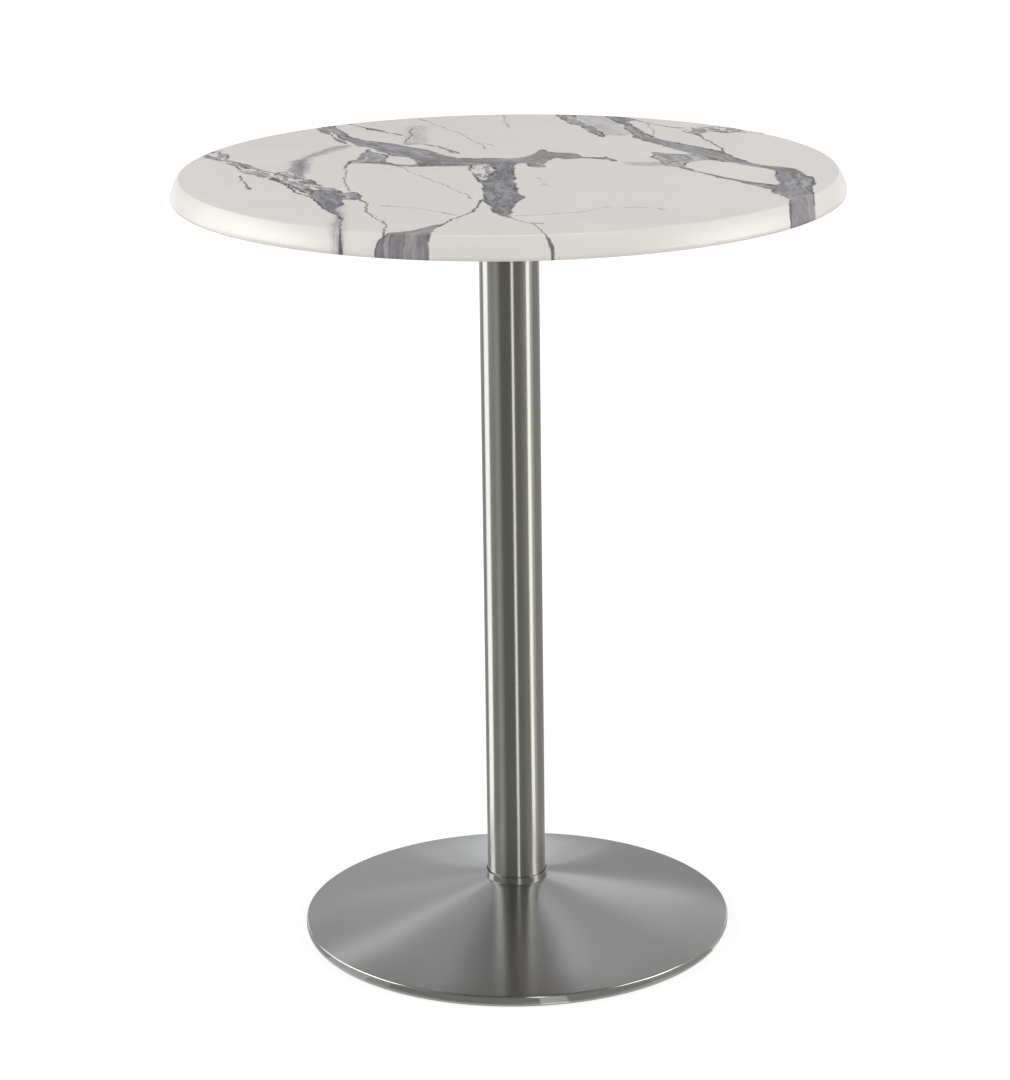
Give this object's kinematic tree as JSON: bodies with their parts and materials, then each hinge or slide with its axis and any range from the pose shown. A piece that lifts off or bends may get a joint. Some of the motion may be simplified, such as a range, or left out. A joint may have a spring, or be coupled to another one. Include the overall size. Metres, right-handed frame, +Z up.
{
  "type": "round bar table",
  "caption": "Round bar-height pedestal table: a marble-look top with a rounded edge on a steel column, with a conical spun steel base and levelling feet.",
  "frame": {"origin": "on the floor, under the middle of the column, with the feet screwed right in", "axes": "+Z up along the column; -Y faces the camera; the feet stand on X and Y"},
  "size_m": [0.8899, 0.8898, 1.067],
  "materials": {
    "decor_marble": "satin decor sheet, warm white with grey veins",
    "core_board": "pressed particle board",
    "backing_sheet": "matt balancing sheet",
    "stainless": "satin brushed",
    "black_steel": "black powder coat",
    "zinc_steel": "bright zinc plate",
    "black_rubber": "matt",
    "black_nylon": "moulded"
  },
  "bodies": {
    "stand": {"decor_skin": "decor_marble", "top_panel": "core_board", "edge_ring": "core_board", "backing_sheet": "backing_sheet", "top_inserts": "zinc_steel", "top_screws": "zinc_steel", "top_washers": "zinc_steel", "spider_plate": "black_steel", "spider_hub": "black_steel", "column_tube": "stainless", "tie_rod": "zinc_steel", "tie_washer": "zinc_steel", "tie_nut": "zinc_steel", "base_cover": "stainless", "neck_gasket": "black_rubber", "base_hub": "black_steel", "hub_screws": "zinc_steel", "base_plate": "stainless", "foot_weld_nuts": "zinc_steel"},
    "foot_1_pad": {"foot_pad_1": "black_nylon"},
    "foot_1_stud": {"foot_stud_1": "zinc_steel"},
    "foot_2_pad": {"foot_pad_2": "black_nylon"},
    "foot_2_stud": {"foot_stud_2": "zinc_steel"},
    "foot_3_pad": {"foot_pad_3": "black_nylon"},
    "foot_3_stud": {"foot_stud_3": "zinc_steel"},
    "foot_4_pad": {"foot_pad_4": "black_nylon"},
    "foot_4_stud": {"foot_stud_4": "zinc_steel"}
  },
  "joints": [
    {"name": "foot_1_travel", "type": "slide", "parent": "stand", "child": "foot_1_pad", "axis": [0, 0, -1], "range_m": [0, 0.01]},
    {"name": "foot_1_turn", "type": "hinge", "parent": "foot_1_pad", "child": "foot_1_stud", "pos_m": [0.22, 0, 0], "axis": [0, 0, -1], "range_deg": [0, 2880]},
    {"name": "foot_2_travel", "type": "slide", "parent": "stand", "child": "foot_2_pad", "axis": [0, 0, -1], "range_m": [0, 0.01]},
    {"name": "foot_2_turn", "type": "hinge", "parent": "foot_2_pad", "child": "foot_2_stud", "pos_m": [0, 0.22, 0], "axis": [0, 0, -1], "range_deg": [0, 2880]},
    {"name": "foot_3_travel", "type": "slide", "parent": "stand", "child": "foot_3_pad", "axis": [0, 0, -1], "range_m": [0, 0.01]},
    {"name": "foot_3_turn", "type": "hinge", "parent": "foot_3_pad", "child": "foot_3_stud", "pos_m": [-0.22, 0, 0], "axis": [0, 0, -1], "range_deg": [0, 2880]},
    {"name": "foot_4_travel", "type": "slide", "parent": "stand", "child": "foot_4_pad", "axis": [0, 0, -1], "range_m": [0, 0.01]},
    {"name": "foot_4_turn", "type": "hinge", "parent": "foot_4_pad", "child": "foot_4_stud", "pos_m": [0, -0.22, 0], "axis": [0, 0, -1], "range_deg": [0, 2880]}
  ],
  "couplings": [
    {"joint": "foot_1_turn", "follows": "foot_1_travel", "rad_per_m": 5026.5},
    {"joint": "foot_2_turn", "follows": "foot_2_travel", "rad_per_m": 5026.5},
    {"joint": "foot_3_turn", "follows": "foot_3_travel", "rad_per_m": 5026.5},
    {"joint": "foot_4_turn", "follows": "foot_4_travel", "rad_per_m": 5026.5}
  ]
}
